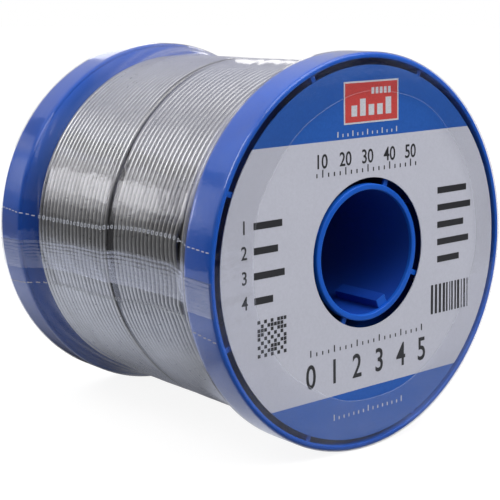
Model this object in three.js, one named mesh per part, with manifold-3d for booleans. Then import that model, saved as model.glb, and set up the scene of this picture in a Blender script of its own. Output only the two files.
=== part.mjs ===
// A spool of solder wire: two moulded flange halves pushed together at the middle of the barrel,
// a paper label on the front ribs, the wound wire and a clear shrink film round it all.
//
// Millimetres. +Z is up, the spool lies on its two rims, and its axis runs along Y.
// The labelled face looks towards -Y. The origin is on the axis, halfway between the two faces.
// Angles round the axis are measured from +X towards +Z, as seen from the labelled face.

import * as THREE from 'three';
import { mergeVertices } from 'three/addons/utils/BufferGeometryUtils.js';
import Module from 'manifold-3d';

// ---------- driving dimensions ----------

// Flange halves
const spoolWidth = 56.8;           // from rim face to rim face
const rimRadius = 29.2;
const rimWidth = 6.0;              // axial width of the outer band
const rimWall = 0.9;
const edgeRound = 0.4;             // on the rim's three outer corners
const lipRound = 0.2;              // on the hub's lip and the rim's inner corner
const shoulderDepth = 2.4;         // how far the web stands in from the band's back edge
const shoulderRun = 2.0;           // radial run of the cone that joins band and web
const webThickness = 1.4;
const boreRadius = 9.3;
const hubWall = 0.9;
const barrelRadius = 11.0;
const spigotWall = 0.65;
const socketDepth = 8.0;
const fitGap = 0.3;                // clearance between pieces that touch on the real spool

// Ribs between hub and rim: every second one is long and reaches the hub
const ribCount = 8;
const ribThickness = 0.8;
const firstRibAngle = 22.5;        // degrees
const shortRibInnerRadius = 15.0;
const ribRoot = 0.3;               // how deep a rib or the key is rooted in its wall

// Drive key inside the bore
const keyWidth = 2.0;
const keyHeight = 1.4;
const keySetback = 0.5;            // behind the hub's lip
const keyAngle = 294;              // degrees

// Paper label, cut to lie between the rim wall and the hub
const labelRimGap = 0.5;
const labelHubGap = 1.0;
const labelThickness = 0.15;
const labelRecess = 0.2;           // its face lies this far behind the rim's face

// Wound wire: one outer layer of turns over the plain inner layers
const wireDiameter = 1.0;
const windingSetback = 1.6;        // how far the crowns of the outer turns lie below the rim
const loops = 24;
const stepsPerLoop = 24;
const tubeSides = 6;
const grooveStep = 2.0;            // extra step where the wire crosses the middle groove
const crossingArc = 40;            // degrees that the crossing takes
const crossingAngle = 155;         // degrees, where it is
const loopsBeforeCrossing = 11.9;
const endBendRadius = 1.2;         // where each end turns down into the inner layers
const endBendSteps = 3;
const endStraightSteps = 2;

// Shrink film
const filmThickness = 0.1;
const filmGap = 0.2;               // clearance to what it is shrunk on
const filmOpeningRadius = 23.0;    // round openings over the two faces
const filmBridgeSlope = 3.125;     // run along the spool for each millimetre it drops from the rim
const filmBridgeSteps = 3;

// Facets round the axis, with a flat one at the bottom to rest on
const roundSteps = 48;
const cornerSteps = 2;

// ---------- worked out from them ----------

const halfWidth = spoolWidth / 2;
const hubRadius = boreRadius + hubWall;
const rimInnerRadius = rimRadius - rimWall;
const webInnerDepth = rimWidth + shoulderDepth;
const webOuterDepth = webInnerDepth - webThickness;
const barrelEndDepth = halfWidth - fitGap / 2;
const spigotRadius = boreRadius + spigotWall;
const socketRadius = spigotRadius + fitGap;
const socketFloorDepth = barrelEndDepth - socketDepth;
const spigotEndDepth = barrelEndDepth + socketDepth;
const labelRadius = rimInnerRadius - labelRimGap;
const labelHoleRadius = hubRadius + labelHubGap;
const ribDepth = labelRecess + labelThickness + fitGap;
const windingRadius = rimRadius - windingSetback;
const windingHalfWidth = halfWidth - webInnerDepth - fitGap;
const wireRadius = wireDiameter / 2;
const outerLayerRadius = windingRadius - wireRadius;
const coreRadius = outerLayerRadius * Math.cos(Math.PI / stepsPerLoop) - wireRadius - fitGap;
const firstLoopY = windingHalfWidth - wireRadius;
const loopPitch = (2 * firstLoopY - grooveStep) / loops;
const filmBridgeDrop = rimRadius - windingRadius;
const filmBridgeRun = filmBridgeSlope * filmBridgeDrop;

const fullTurn = 2 * Math.PI;
const radians = THREE.MathUtils.degToRad;

// ---------- helpers ----------

const wasm = await Module();
wasm.setup();

// Keeps positions only, shares the vertices and turns all faces outwards.
function closedMesh(geometry) {
  geometry.deleteAttribute('normal');
  geometry.deleteAttribute('uv');
  const merged = mergeVertices(geometry, 1e-4);
  const position = merged.attributes.position;
  const index = merged.index.array;
  const [a, b, c] = [new THREE.Vector3(), new THREE.Vector3(), new THREE.Vector3()];
  let volume = 0;
  for (let i = 0; i < index.length; i += 3) {
    a.fromBufferAttribute(position, index[i]);
    b.fromBufferAttribute(position, index[i + 1]);
    c.fromBufferAttribute(position, index[i + 2]);
    volume += a.dot(b.cross(c));
  }
  if (volume < 0) index.reverse();
  return merged;
}

function toSolid(geometry) {
  const mesh = closedMesh(geometry);
  return new wasm.Manifold(new wasm.Mesh({
    numProp: 3,
    vertProperties: new Float32Array(mesh.attributes.position.array),
    triVerts: new Uint32Array(mesh.index.array),
  }));
}

function toGeometry(solid) {
  const { vertProperties, triVerts } = solid.getMesh();
  const geometry = new THREE.BufferGeometry();
  geometry.setAttribute('position', new THREE.BufferAttribute(vertProperties, 3));
  geometry.setIndex(new THREE.BufferAttribute(triVerts, 1));
  return geometry;
}

// A solid of revolution about Y from a closed profile of [radius, y] points.
function revolved(profile) {
  const points = [...profile, profile[0]].map(([r, y]) => new THREE.Vector2(r, y));
  return new THREE.LatheGeometry(points, roundSteps, Math.PI / roundSteps);
}

// Points of a quarter-round corner in a profile, from one angle to another in degrees.
function corner(centreR, centreY, radius, fromAngle, toAngle) {
  return Array.from({ length: cornerSteps + 1 }, (_, i) => {
    const angle = radians(fromAngle + (toAngle - fromAngle) * i / cornerSteps);
    return [centreR + radius * Math.cos(angle), centreY + radius * Math.sin(angle)];
  });
}

// Turns a geometry that was made along +X to its angle round the axis.
function turnedTo(geometry, angle) {
  return geometry.rotateY(-radians(angle));
}

function mirrored(geometry) {
  return geometry.scale(1, -1, 1);
}

// ---------- flange halves ----------

// Profile of one half, with y as the depth behind its rim face. The end of the barrel is a
// socket on one half and a spigot on the other.
function halfProfile(barrelEnd) {
  return [
    ...corner(boreRadius + lipRound, lipRound, lipRound, 180, 270),
    ...corner(hubRadius - lipRound, lipRound, lipRound, 270, 360),
    [hubRadius, webOuterDepth],
    [rimInnerRadius - shoulderRun, webOuterDepth],
    [rimInnerRadius, webOuterDepth - shoulderDepth],
    ...corner(rimInnerRadius + lipRound, lipRound, lipRound, 180, 270),
    ...corner(rimRadius - edgeRound, edgeRound, edgeRound, 270, 360),
    ...corner(rimRadius - edgeRound, rimWidth - edgeRound, edgeRound, 0, 90),
    [rimRadius - edgeRound - shoulderRun, webInnerDepth],
    [barrelRadius, webInnerDepth],
    [barrelRadius, barrelEndDepth],
    ...barrelEnd,
  ];
}

const socketEnd = [
  [socketRadius, barrelEndDepth],
  [socketRadius, socketFloorDepth],
  [boreRadius, socketFloorDepth],
];

const spigotEnd = [
  [spigotRadius, barrelEndDepth],
  [spigotRadius, spigotEndDepth],
  [boreRadius, spigotEndDepth],
];

// One radial rib, rooted in the rim wall, the web and, if it is long, the hub.
function rib(angle, innerRadius) {
  const outline = new THREE.Shape([
    new THREE.Vector2(innerRadius, ribDepth),
    new THREE.Vector2(rimInnerRadius + ribRoot, ribDepth),
    new THREE.Vector2(rimInnerRadius + ribRoot, webOuterDepth - shoulderDepth),
    new THREE.Vector2(rimInnerRadius - shoulderRun, webOuterDepth + ribRoot),
    new THREE.Vector2(innerRadius, webOuterDepth + ribRoot),
  ]);
  const plate = new THREE.ExtrudeGeometry(outline, { depth: ribThickness, bevelEnabled: false });
  plate.translate(0, 0, -ribThickness / 2);
  return turnedTo(plate, angle);
}

// The key along the bore wall, from just behind the lip to the given depth.
function driveKey(endDepth) {
  const length = endDepth - keySetback;
  const bar = new THREE.BoxGeometry(keyHeight + ribRoot, length, keyWidth);
  bar.translate(boreRadius + (ribRoot - keyHeight) / 2, keySetback + length / 2, 0);
  return turnedTo(bar, keyAngle);
}

function flangeHalf(barrelEnd, keyEndDepth) {
  let solid = toSolid(revolved(halfProfile(barrelEnd)));
  for (let i = 0; i < ribCount; i++) {
    const angle = firstRibAngle + 360 * i / ribCount;
    const isLong = i % 2 === 1;
    solid = solid.add(toSolid(rib(angle, isLong ? hubRadius - ribRoot : shortRibInnerRadius)));
  }
  solid = solid.add(toSolid(driveKey(keyEndDepth)));
  return toGeometry(solid).translate(0, -halfWidth, 0);
}

const frontHalf = flangeHalf(socketEnd, socketFloorDepth);
const rearHalf = mirrored(flangeHalf(spigotEnd, spigotEndDepth));

// ---------- label ----------

const labelFaceY = -halfWidth + labelRecess;
const labelBackY = labelFaceY + labelThickness;
const label = revolved([
  [labelHoleRadius, labelFaceY],
  [labelRadius, labelFaceY],
  [labelRadius, labelBackY],
  [labelHoleRadius, labelBackY],
]);

// ---------- wound wire ----------

// The outer layer starts at the rear flange. Loop 0 is its start and loop 24 its end.
function loopAngle(loop) {
  return radians(crossingAngle) + fullTurn * (loop - loopsBeforeCrossing);
}

function loopY(loop) {
  const crossing = (loop - loopsBeforeCrossing) * 360 / crossingArc + 0.5;
  return firstLoopY - loopPitch * loop - grooveStep * THREE.MathUtils.smoothstep(crossing, 0, 1);
}

function onLayer(loop) {
  const angle = loopAngle(loop);
  return new THREE.Vector3(
    outerLayerRadius * Math.cos(angle),
    loopY(loop),
    outerLayerRadius * Math.sin(angle),
  );
}

// The end of the wire turns down at once and runs straight into the inner layers.
// direction is 1 at the last loop and -1 at the first, where the path runs backwards.
function wireEnd(loop, direction) {
  const start = onLayer(loop);
  const outward = new THREE.Vector3(start.x, 0, start.z).normalize();
  const ahead = new THREE.Vector3(-outward.z, 0, outward.x).multiplyScalar(direction);
  const points = [];
  for (let i = 1; i <= endBendSteps; i++) {
    const turn = Math.PI / 2 * i / endBendSteps;
    points.push(start.clone()
      .addScaledVector(ahead, endBendRadius * Math.sin(turn))
      .addScaledVector(outward, endBendRadius * (Math.cos(turn) - 1)));
  }
  const bendEnd = points[points.length - 1];
  for (let i = 1; i <= endStraightSteps; i++) {
    points.push(bendEnd.clone().addScaledVector(outward, -wireDiameter * i / endStraightSteps));
  }
  return points;
}

const loopPoints = Array.from(
  { length: loops * stepsPerLoop + 1 },
  (_, i) => onLayer(i / stepsPerLoop),
);
const wirePath = [...wireEnd(0, -1).reverse(), ...loopPoints, ...wireEnd(loops, 1)];

// A tube of tubeSides sides along the path. The path stays nearly square to the spool's axis,
// so each ring takes the axis as its second direction.
function wireTube(path) {
  const axis = new THREE.Vector3(0, 1, 0);
  const positions = [];
  path.forEach((point, i) => {
    const before = path[Math.max(i - 1, 0)];
    const after = path[Math.min(i + 1, path.length - 1)];
    const tangent = after.clone().sub(before).normalize();
    const across = axis.clone().addScaledVector(tangent, -axis.dot(tangent)).normalize();
    const upward = across.clone().cross(tangent);
    for (let side = 0; side < tubeSides; side++) {
      const angle = fullTurn * side / tubeSides;
      const vertex = point.clone()
        .addScaledVector(upward, wireRadius * Math.cos(angle))
        .addScaledVector(across, wireRadius * Math.sin(angle));
      positions.push(...vertex.toArray());
    }
  });
  const indices = [];
  for (let ring = 0; ring < path.length - 1; ring++) {
    for (let side = 0; side < tubeSides; side++) {
      const a = ring * tubeSides + side;
      const b = ring * tubeSides + (side + 1) % tubeSides;
      indices.push(a, b, b + tubeSides, a, b + tubeSides, a + tubeSides);
    }
  }
  const lastRing = (path.length - 1) * tubeSides;
  for (let side = 1; side < tubeSides - 1; side++) {
    indices.push(0, side + 1, side);
    indices.push(lastRing, lastRing + side, lastRing + side + 1);
  }
  const geometry = new THREE.BufferGeometry();
  geometry.setAttribute('position', new THREE.Float32BufferAttribute(positions, 3));
  geometry.setIndex(indices);
  return closedMesh(geometry);
}

// Least clear distance between stretches of the wire that lie half a loop or more apart.
function leastSelfGap(path) {
  const apart = stepsPerLoop / 2;
  let least = Infinity;
  for (let i = 0; i < path.length; i++) {
    for (let j = i + apart; j < path.length; j++) {
      least = Math.min(least, path[i].distanceTo(path[j]));
    }
  }
  return least - wireDiameter;
}

console.log(`outer wire layer: least gap to itself ${leastSelfGap(wirePath).toFixed(3)} mm`);

// The inner layers are a plain ring with a pocket for each end of the outer layer's wire.
function endPocket(loop, direction) {
  const floorRadius = outerLayerRadius - endBendRadius - wireDiameter - fitGap;
  const depth = windingRadius - floorRadius;
  const reach = endBendRadius + wireRadius + fitGap;
  const back = wireDiameter;
  const inboard = wireRadius + fitGap;
  const pastEnd = wireDiameter;
  const pocket = new THREE.BoxGeometry(depth, inboard + pastEnd, reach + back);
  pocket.translate(
    floorRadius + depth / 2,
    loopY(loop) - direction * (pastEnd - inboard) / 2,
    direction * (reach - back) / 2,
  );
  return turnedTo(pocket, THREE.MathUtils.radToDeg(loopAngle(loop)));
}

const innerLayers = toGeometry(
  toSolid(revolved([
    [barrelRadius + fitGap, -windingHalfWidth],
    [coreRadius, -windingHalfWidth],
    [coreRadius, windingHalfWidth],
    [barrelRadius + fitGap, windingHalfWidth],
  ]))
    .subtract(toSolid(endPocket(0, -1)))
    .subtract(toSolid(endPocket(loops, 1))),
);

// ---------- shrink film ----------

// The film's line over the front half of the spool, at the given distance from what it wraps.
function filmLine(distance) {
  const bandBackY = -halfWidth + rimWidth;
  const bridge = Array.from({ length: filmBridgeSteps }, (_, i) => {
    const along = (i + 1) / filmBridgeSteps;
    const drop = filmBridgeDrop * (1 - (1 - along) ** 2);
    return [rimRadius - drop + distance, bandBackY + filmBridgeRun * along];
  });
  return [
    [filmOpeningRadius, -halfWidth - distance],
    ...corner(rimRadius - edgeRound, -halfWidth + edgeRound, edgeRound + distance, 270, 360),
    [rimRadius + distance, bandBackY],
    ...bridge,
  ];
}

// The same line carried on over the rear half.
function wholeFilmLine(distance) {
  const front = filmLine(distance);
  const rear = front.map(([r, y]) => [r, -y]).reverse();
  return [...front, ...rear];
}

const film = revolved([
  ...wholeFilmLine(filmGap + filmThickness),
  ...wholeFilmLine(filmGap).reverse(),
]);

// ---------- the assembly ----------

const bluePlastic = { color: 0x1b54a8, roughness: 0.38, metalness: 0 };
const paper = { color: 0xc9cbd6, roughness: 0.6, metalness: 0 };
const solderWire = { color: 0xb4b4b8, roughness: 0.35, metalness: 0.9 };
const clearFilm = { color: 0xdfe3f0, roughness: 0.12, metalness: 0, transparent: true, opacity: 0.2 };

function piece(name, geometry, look) {
  const mesh = new THREE.Mesh(geometry, new THREE.MeshStandardMaterial(look));
  mesh.name = name;
  return mesh;
}

const spool = new THREE.Group();
spool.add(
  piece('front_flange_half', closedMesh(frontHalf), bluePlastic),
  piece('rear_flange_half', closedMesh(rearHalf), bluePlastic),
  piece('front_label', closedMesh(label), paper),
  piece('wire_inner_layers', closedMesh(innerLayers), solderWire),
  piece('wire_outer_layer', wireTube(wirePath), solderWire),
  piece('shrink_film_sleeve', closedMesh(film), clearFilm),
);

export default spool;
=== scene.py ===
import math

import bpy
import numpy as np
from mathutils import Matrix, Vector


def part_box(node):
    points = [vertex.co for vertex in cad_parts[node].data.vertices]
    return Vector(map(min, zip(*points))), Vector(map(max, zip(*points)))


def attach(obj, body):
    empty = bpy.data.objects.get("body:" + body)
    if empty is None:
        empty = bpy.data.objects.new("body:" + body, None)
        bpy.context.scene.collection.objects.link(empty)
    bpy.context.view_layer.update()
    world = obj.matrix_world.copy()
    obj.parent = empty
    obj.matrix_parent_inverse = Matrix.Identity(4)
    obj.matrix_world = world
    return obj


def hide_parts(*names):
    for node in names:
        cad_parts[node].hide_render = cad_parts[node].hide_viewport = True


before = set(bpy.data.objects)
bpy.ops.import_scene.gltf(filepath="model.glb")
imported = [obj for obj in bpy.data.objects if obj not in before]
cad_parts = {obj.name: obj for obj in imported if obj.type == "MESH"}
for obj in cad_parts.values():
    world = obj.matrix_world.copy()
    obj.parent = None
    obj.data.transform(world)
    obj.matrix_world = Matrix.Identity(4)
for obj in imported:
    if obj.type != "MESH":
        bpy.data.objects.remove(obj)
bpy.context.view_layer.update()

# A spool of solder wire in clear shrink film, lying on its two rims.
# Lengths are in millimetres until a mesh is made. The axis runs along Y and the labelled face looks
# towards -Y. An angle goes round the axis from +X towards +Z, in degrees, and a turn in radians.

MM = 0.001
TURN = 2 * math.pi
CAD_FACETS = 48  # flats round the CAD model's solids of revolution


def cad_radius(node):
    """Outer radius of a CAD solid of revolution, whose box touches its flats."""
    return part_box(node)[1].z / MM / math.cos(math.pi / CAD_FACETS)


def cad_ends(node):
    """The y of a CAD part's front and of its rear."""
    low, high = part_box(node)
    return low.y / MM, high.y / MM


# ---- sizes ----

FACE_Y = -cad_ends("front_flange_half")[0]  # both rim faces are this far from the middle
RIM_RADIUS = cad_radius("front_flange_half") + 0.3  # fills the CAD model's clearance to the film
WINDING_RADIUS = cad_radius("wire_outer_layer")
LABEL_RADIUS = cad_radius("front_label")
LABEL_Y, LABEL_BACK_Y = cad_ends("front_label")

RIM_WIDTH = 6.0
RIM_WALL = 0.85
SHOULDER_DEPTH = 2.4
SHOULDER_RUN = 2.0
WEB_THICKNESS = 1.4
BORE_RADIUS = 9.3
HUB_WALL = 0.9
BARREL_RADIUS = 11.0
SPIGOT_WALL = 0.65
SOCKET_DEPTH = 8.0
FIT_GAP = 0.3
RIB_COUNT = 8
RIB_THICKNESS = 0.8
FIRST_RIB_ANGLE = 22.5
SHORT_RIB_START = 15.0
RIB_DEPTH = 0.65
ROOT = 0.3  # how far ribs and key reach into what carries them
KEY_WIDTH = 2.0
KEY_HEIGHT = 1.4
KEY_SETBACK = 0.5
KEY_ANGLE = 294
KEY_LENGTH = 9.0

LABEL_HOLE_RADIUS = 11.2
LABEL_ROLL = 1.4  # the print's lines rise this much to the right
LABEL_SHIFT = (0.2, -0.1)  # the paper sits this far right of and above the axis
HOLE_SHIFT = 0.25  # and its hole this much further right
LABEL_SAG = 0.05
TOP_FIELD_UP = 17.1  # the upper blue field begins this far up the print
BOTTOM_FIELD_UP = -20.4  # and the lower one here

WIRE_DIAMETER = 1.0
LAYER_STEP = 0.87  # radial step from one layer of turns to the next
FILM_THICKNESS = 0.07

HUB_RADIUS = BORE_RADIUS + HUB_WALL
RIM_INNER_RADIUS = RIM_RADIUS - RIM_WALL
RIM_END_Y = FACE_Y - RIM_WIDTH
WEB_INNER_DEPTH = RIM_WIDTH + SHOULDER_DEPTH
WEB_OUTER_DEPTH = WEB_INNER_DEPTH - WEB_THICKNESS
BARREL_LENGTH = FACE_Y - FIT_GAP / 2
OUTER_LAYER_RADIUS = WINDING_RADIUS - WIRE_DIAMETER / 2


# ---- mesh helpers ----

def linked(name, data):
    made = bpy.data.objects.new(name, data)
    bpy.context.scene.collection.objects.link(made)
    return made


def evaluated(made):
    """A new mesh of a curve, or of an object with its modifiers."""
    graph = bpy.context.evaluated_depsgraph_get()
    return bpy.data.meshes.new_from_object(made.evaluated_get(graph))


def finished(name, mesh, material, sharp_angle=180):
    """An object from a mesh, smooth apart from edges sharper than sharp_angle."""
    mesh.name = name
    mesh.materials.clear()
    mesh.materials.append(material)
    mesh.polygons.foreach_set("use_smooth", [True] * len(mesh.polygons))
    if sharp_angle < 180:
        mesh.set_sharp_from_angle(angle=math.radians(sharp_angle))
    mesh.update()
    return linked(name, mesh)


def signed_volume(points, faces):
    """Six times the volume that the faces enclose, negative where they face inwards."""
    triangles = np.array([(f[0], *f[i:i + 2]) for f in faces for i in range(1, len(f) - 1)])
    a, b, c = points[triangles.T]
    return (a * np.cross(b, c)).sum()


def mesh_object(name, points, faces, material, sharp_angle=180):
    """An object from points in millimetres, with its faces turned outwards."""
    points = np.asarray(points, float).reshape(-1, 3)
    faces = [tuple(int(i) for i in face) for face in faces]
    if signed_volume(points, faces) < 0:
        faces = [face[::-1] for face in faces]
    mesh = bpy.data.meshes.new(name)
    mesh.from_pydata((points * MM).tolist(), [], faces)
    return finished(name, mesh, material, sharp_angle)


def set_attribute(made, name, values):
    """A number for each point, which the material reads."""
    attribute = made.data.attributes.new(name, "FLOAT", "POINT")
    attribute.data.foreach_set("value", np.asarray(values, np.float32))


def joined(parts):
    points, faces, count = [], [], 0
    for part_points, part_faces in parts:
        points.append(part_points)
        faces += [[i + count for i in face] for face in part_faces]
        count += len(part_points)
    return np.concatenate(points), faces


def grid_faces(rows, columns, closed=(False, True)):
    """Quads over a grid of points. closed says whether its rows and its columns run round."""
    r, c = np.indices((rows - 1 + closed[0], columns - 1 + closed[1]))
    r_next, c_next = (r + 1) % rows, (c + 1) % columns
    corners = ((r, c), (r, c_next), (r_next, c_next), (r_next, c))
    return np.stack([i * columns + j for i, j in corners], -1).reshape(-1, 4)


def capped(rows, columns):
    """Faces of a tube made of closed rings, with a cap at either end."""
    last = (rows - 1) * columns
    sides = [tuple(face) for face in grid_faces(rows, columns)]
    return [*sides, tuple(range(columns))[::-1], tuple(range(last, last + columns))]


def patch(top, bottom):
    """Points and faces of a closed thin sheet between two grids of points."""
    index = np.arange(top.size // 3).reshape(top.shape[:2])
    quads = grid_faces(*index.shape, closed=(False, False))
    rim = [*index[0], *index[1:, -1], *index[-1, -2::-1], *index[-2:0:-1, 0]]
    under = index.size
    walls = [(j, i, under + i, under + j) for i, j in zip(rim, rim[1:] + rim[:1])]
    faces = [*quads, *(quads[:, [0, 3, 2, 1]] + under), *walls]
    return np.concatenate([top.reshape(-1, 3), bottom.reshape(-1, 3)]), faces


def cylindrical(radius, turn, y):
    """Points at a distance from the axis and a turn round it."""
    return np.stack(np.broadcast_arrays(radius * np.cos(turn), y, radius * np.sin(turn)), -1)


def angle_of(x, z):
    return np.degrees(np.arctan2(z, x))


def revolved(profile, steps):
    """Points and faces of a solid of revolution from a closed profile of (radius, y)."""
    profile = np.asarray(profile, float)
    points = cylindrical(profile[:, :1], np.arange(steps) * TURN / steps, profile[:, 1:])
    return points.reshape(-1, 3), grid_faces(len(profile), steps, (True, True))


def rounded(corners, steps=5):
    """A closed outline through (a, b, radius) corners, each turned into an arc of its radius."""
    outline = []
    for i, (a, b, radius) in enumerate(corners):
        if radius == 0:
            outline.append((a, b))
            continue
        here = Vector((a, b))
        before = (Vector(corners[i - 1][:2]) - here).normalized()
        after = (Vector(corners[(i + 1) % len(corners)][:2]) - here).normalized()
        half = before.angle(after) / 2
        centre = here + (before + after).normalized() * radius / math.sin(half)
        start = here + before * radius / math.tan(half) - centre
        end = here + after * radius / math.tan(half) - centre
        sweep = start.angle_signed(end)
        for k in range(steps + 1):
            outline.append(tuple(centre + Matrix.Rotation(-sweep * k / steps, 2) @ start))
    return outline


def tube(path, across, radius, sides):
    """Points and faces of a closed tube along a path. across is a direction for each point."""
    tangent = np.gradient(path, axis=0)
    tangent /= np.linalg.norm(tangent, axis=1, keepdims=True)
    across = across - (across * tangent).sum(1, keepdims=True) * tangent
    across /= np.linalg.norm(across, axis=1, keepdims=True)
    upward = np.cross(across, tangent)
    turn = (np.arange(sides) * TURN / sides)[None, :, None]
    spokes = np.cos(turn) * upward[:, None] + np.sin(turn) * across[:, None]
    return (path[:, None] + radius * spokes).reshape(-1, 3), capped(len(path), sides)


def smoothstep(value, low, high):
    t = np.clip((value - low) / (high - low), 0, 1)
    return t * t * (3 - 2 * t)


def window(angle, start, end, ease):
    """1 between two angles and 0 outside them, with eased sides."""
    middle = (start + end) / 2
    off = np.abs((angle - middle + 180) % 360 - 180)
    return 1 - smoothstep(off, (end - start) / 2 - ease, (end - start) / 2 + ease)


def wobble(angle, seed, orders, size):
    """A periodic unevenness round the axis, as a sum of seeded waves."""
    random = np.random.default_rng(seed)
    total = 0.0
    for order in orders:
        height, phase = random.uniform(0.5, 1), random.uniform(0, TURN)
        total = total + height * np.cos(order * angle * TURN / 360 + phase)
    return size * total / math.sqrt(len(orders))


# ---- material helpers ----

class Nodes:
    """Short names for building a tree of nodes.

    A value is a number, a colour as a tuple, or the output of another node.
    """

    MIX_SOCKETS = {"FLOAT": (0, 2, 3, 0), "RGBA": (0, 6, 7, 2)}  # factor, first, second, result

    def __init__(self, tree):
        self.tree = tree

    def add(self, kind, inputs=(), **settings):
        """A node with its settings, and the values of its inputs by their names or numbers."""
        node = self.tree.nodes.new(kind)
        for key, value in settings.items():
            setattr(node, key, value)
        for key, value in dict(inputs).items():
            self.give(value, node.inputs[key])
        return node

    def give(self, value, socket):
        if isinstance(value, bpy.types.NodeSocket):
            self.tree.links.new(value, socket)
        else:
            socket.default_value = (*value, 1) if isinstance(value, tuple) else value

    def math(self, operation, *values, clamp=False):
        """One Math node, or a chain of them where there are more than two values."""
        first = enumerate(values[:2])
        node = self.add("ShaderNodeMath", first, operation=operation, use_clamp=clamp)
        if len(values) > 2:
            return self.math(operation, node.outputs[0], *values[2:], clamp=clamp)
        return node.outputs[0]

    def times(self, *values):
        return self.math("MULTIPLY", *values)

    def ranged(self, value, start, end, low=0.0, high=1.0, easing="LINEAR"):
        """From low where the value is start to high where it is end, and held beyond them."""
        sockets = ("Value", "From Min", "From Max", "To Min", "To Max")
        inputs = zip(sockets, (value, start, end, low, high))
        return self.add("ShaderNodeMapRange", inputs, interpolation_type=easing).outputs["Result"]

    def mixed(self, factor, first, second, kind="RGBA"):
        """A colour between two others, or a number with the kind FLOAT."""
        *sockets, result = self.MIX_SOCKETS[kind]
        inputs = zip(sockets, (factor, first, second))
        return self.add("ShaderNodeMix", inputs, data_type=kind).outputs[result]

    def split(self, vector):
        return tuple(self.add("ShaderNodeSeparateXYZ", {0: vector}).outputs)

    def stretched(self, vector, factors):
        node = self.add("ShaderNodeVectorMath", {0: vector}, operation="MULTIPLY")
        node.inputs[1].default_value = factors
        return node.outputs[0]

    def position(self):
        """The place in millimetres, whole and as x, y and z."""
        metres = self.add("ShaderNodeTexCoord").outputs["Object"]
        place = self.stretched(metres, (1 / MM,) * 3)
        return place, *self.split(place)

    def radius(self, x, z):
        squares = self.times(x, x), self.times(z, z)
        return self.math("SQRT", self.math("ADD", *squares))

    def noise(self, vector, scale, detail=3.0, roughness=0.5):
        inputs = {"Vector": vector, "Scale": scale, "Detail": detail, "Roughness": roughness}
        return self.add("ShaderNodeTexNoise", inputs).outputs["Fac"]

    def varied(self, noise, low=0.0, high=1.0):
        return self.ranged(noise, 0.3, 0.7, low, high)

    def attribute(self, name):
        return self.add("ShaderNodeAttribute", attribute_name=name).outputs["Fac"]

    def rays(self):
        """1 for what the camera sees, and 1 for what gloss shows."""
        paths = self.add("ShaderNodeLightPath").outputs
        seen = self.math("MAXIMUM", paths["Is Camera Ray"], paths["Is Transmission Ray"])
        return seen, paths["Is Glossy Ray"]


class Surface(Nodes):
    """A material."""

    def __init__(self, name):
        self.material = bpy.data.materials.new(name)
        self.material.use_nodes = True
        super().__init__(self.material.node_tree)
        self.shader = self.tree.nodes["Principled BSDF"]

    def set(self, **values):
        """Values for the shader's sockets, with _ for a space."""
        for key, value in values.items():
            self.give(value, self.shader.inputs[key.replace("_", " ")])

    def bump(self, height, distance, strength=1.0):
        inputs = {"Strength": strength, "Distance": distance * MM, "Height": height}
        self.set(Normal=self.add("ShaderNodeBump", inputs).outputs["Normal"])


# ---- materials ----

BLUE_TONES = (0.006, 0.088, 0.49), (0.010, 0.112, 0.57)
SHADE_BEHIND_RIM_BLUE = (0.003, 0.060, 0.37)
HOLLOW_SHADE_BLUE = (0.003, 0.055, 0.29)
BORE_SHADE_BLUE = (0.0004, 0.038, 0.30)
GAP_SHADE_BLUE = (0.001, 0.010, 0.07)
HOLLOW = (-9, -17), (3, 10), (10, 12)  # x, z and y over which painted shade darkens the rear flange's inside
GAP_SHADE_RADII = (12, 14)  # where the painted shade in the label's hole ends


def blue_plastic():
    """Satin blue, with painted shade behind the rims, on the rear half, in the rear flange's hollow,
    round the hub and in the bore, where it is also matt.
    """
    n = Surface("blue_plastic")
    place, x, y, z = n.position()
    radius, depth = n.radius(x, z), n.math("ABSOLUTE", y)
    cloud = n.noise(place, 0.16, 3)
    shade = n.mixed(n.varied(cloud), *BLUE_TONES)

    # Painted shade: away from the rims, towards the winding, the blue darkens, and the rear half's rims
    # take half of that darkening.
    rims = n.ranged(depth, RIM_END_Y - 1.2, RIM_END_Y + 0.1)
    front = n.ranged(y, -2, 2, 1, 0.5)
    shade = n.mixed(n.times(rims, front), SHADE_BEHIND_RIM_BLUE, shade)
    # Painted shade in the rear flange's hollow, inside its rim.
    reach = [n.ranged(value, *stretch) for value, stretch in zip((x, z, y), HOLLOW)]
    hollow = n.times(*reach, n.math("SUBTRACT", 1.0, rims))
    shade = n.mixed(hollow, shade, HOLLOW_SHADE_BLUE)

    # Painted shade darkens the bore, which is also matt.
    wall = n.ranged(radius, BORE_RADIUS + 0.05, BORE_RADIUS + 0.35)
    key_end = n.ranged(depth, FACE_Y - KEY_SETBACK - 0.1, FACE_Y - KEY_SETBACK - 0.02)
    outside = n.math("MAXIMUM", wall, key_end)
    shade = n.mixed(outside, BORE_SHADE_BLUE, shade)
    matt = n.times(n.math("SUBTRACT", 1.0, outside), 0.5)

    # Painted shade in the gap between the hub and the label's hole, below the label.
    off_hub = n.ranged(radius, HUB_RADIUS - 0.08, HUB_RADIUS - 0.02)
    under_label = n.ranged(depth, FACE_Y - 1.2, FACE_Y - 0.75, 1, 0)
    gap = n.times(off_hub, n.ranged(radius, *GAP_SHADE_RADII, 1, 0), under_label)
    n.set(
        Base_Color=n.mixed(gap, shade, GAP_SHADE_BLUE),
        Roughness=n.math("ADD", n.varied(cloud, 0.28, 0.38), matt),
        Specular_IOR_Level=0.22,
    )
    n.bump(n.noise(place, 6.0, 2), 0.008)
    return n.material


SOLDER_TONES = (0.56, 0.56, 0.555), (0.64, 0.64, 0.635)
SHADE_BETWEEN_TURNS = (0.13, 0.13, 0.135)
SHADE_BELOW_TURNS = (0.025, 0.025, 0.03)
GROOVE_SHADE_GREY = (0.06, 0.06, 0.065)


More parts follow.
